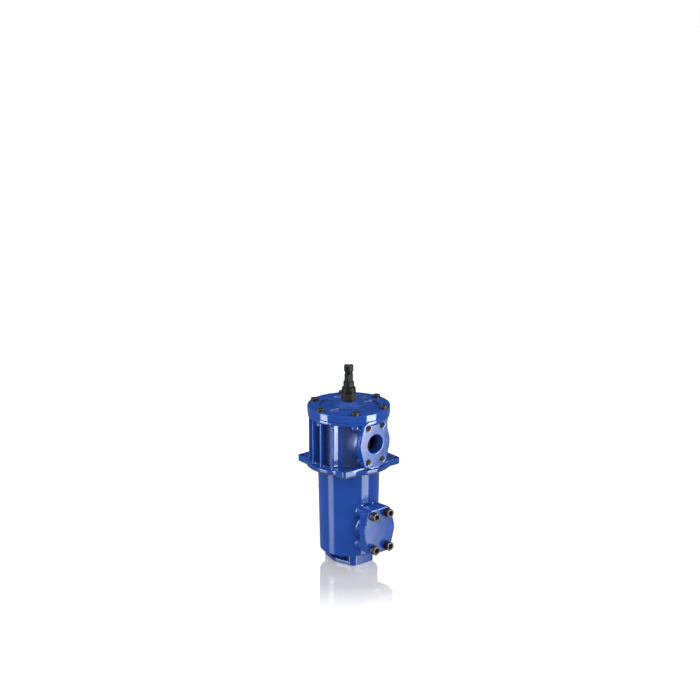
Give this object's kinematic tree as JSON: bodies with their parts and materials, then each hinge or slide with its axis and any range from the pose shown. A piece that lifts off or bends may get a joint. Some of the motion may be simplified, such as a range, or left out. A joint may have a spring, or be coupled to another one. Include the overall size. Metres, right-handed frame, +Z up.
{
  "type": "hydraulic return filter",
  "caption": "Tank-top hydraulic return line filter: finned blue head with flange inlet, hanging bowl with blanked side port and foot outlet, screwed cover, clogging switch.",
  "frame": {"origin": "on the filter's axis at the underside of the foot flange, which is the middle of the box's base", "axes": "+Z up the filter's axis; the four mounting ears point along X and Y; the inlet and side ports face between +X and -Y"},
  "size_m": [0.2042, 0.2042, 0.4074],
  "materials": {
    "blue_enamel": "glossy blue enamel on cast aluminium",
    "black_steel": "black oxide",
    "spring_steel": "bright spring wire",
    "zinc_plate": "zinc plated steel",
    "dark_bronze": "dark passivated turned metal",
    "black_rubber": "nitrile rubber",
    "black_plastic": "glass filled nylon",
    "smoked_window": "smoked clear plastic",
    "reed_glass": "glass tube",
    "filter_paper": "pleated glass fibre sheet"
  },
  "bodies": {
    "housing": {"filter_head": "blue_enamel", "filter_bowl": "blue_enamel", "filter_cover": "blue_enamel", "blanking_plate": "blue_enamel", "tank_gasket": "black_rubber", "cover_screw_1": "black_steel", "cover_screw_2": "black_steel", "cover_screw_3": "black_steel", "cover_screw_4": "black_steel", "cover_screw_5": "black_steel", "cover_screw_6": "black_steel", "blanking_screw_1": "black_steel", "blanking_screw_2": "black_steel", "blanking_screw_3": "black_steel", "blanking_screw_4": "black_steel", "bowl_screw_1": "black_steel", "bowl_screw_2": "black_steel", "bowl_screw_3": "black_steel", "bowl_screw_4": "black_steel", "cover_seal": "black_rubber", "bowl_seal": "black_rubber", "blanking_seal": "black_rubber", "seat_plate_seal": "black_rubber", "element_seal": "black_rubber", "indicator_seal": "black_rubber", "element_seat_plate": "zinc_plate", "element_bottom_cap": "zinc_plate", "element_top_cap": "zinc_plate", "pleated_media": "filter_paper", "support_tube": "zinc_plate", "hold_down_spring": "spring_steel", "bypass_cage": "zinc_plate", "bypass_spring": "spring_steel", "indicator_body": "dark_bronze", "piston_clip": "spring_steel", "indicator_spring": "spring_steel", "switch_retaining_ring": "spring_steel"},
    "piston": {"indicator_piston": "zinc_plate", "piston_magnet": "spring_steel"},
    "poppet": {"bypass_poppet": "zinc_plate"},
    "switch": {"switch_housing": "black_plastic", "switch_window": "smoked_window", "reed_switch": "reed_glass", "connector_shell": "zinc_plate", "connector_insert": "black_plastic", "connector_pin_1": "zinc_plate", "connector_pin_2": "zinc_plate", "connector_pin_3": "zinc_plate", "connector_pin_4": "zinc_plate", "connector_cap": "black_plastic"}
  },
  "joints": [
    {"name": "switch_swivel", "type": "hinge", "parent": "housing", "child": "switch", "pos_m": [0, 0, 0.3534], "axis": [0, 0, 1], "continuous": true},
    {"name": "indicator_piston_slide", "type": "slide", "parent": "housing", "child": "piston", "axis": [0, 0, 1], "range_m": [0, 0.004], "stiffness_N_per_m": 2000, "springref_m": -0.006, "deforming": ["indicator_spring"]},
    {"name": "bypass_poppet_slide", "type": "slide", "parent": "housing", "child": "poppet", "axis": [0, 0, -1], "range_m": [0, 0.008], "stiffness_N_per_m": 3000, "springref_m": -0.01, "deforming": ["bypass_spring"]}
  ]
}
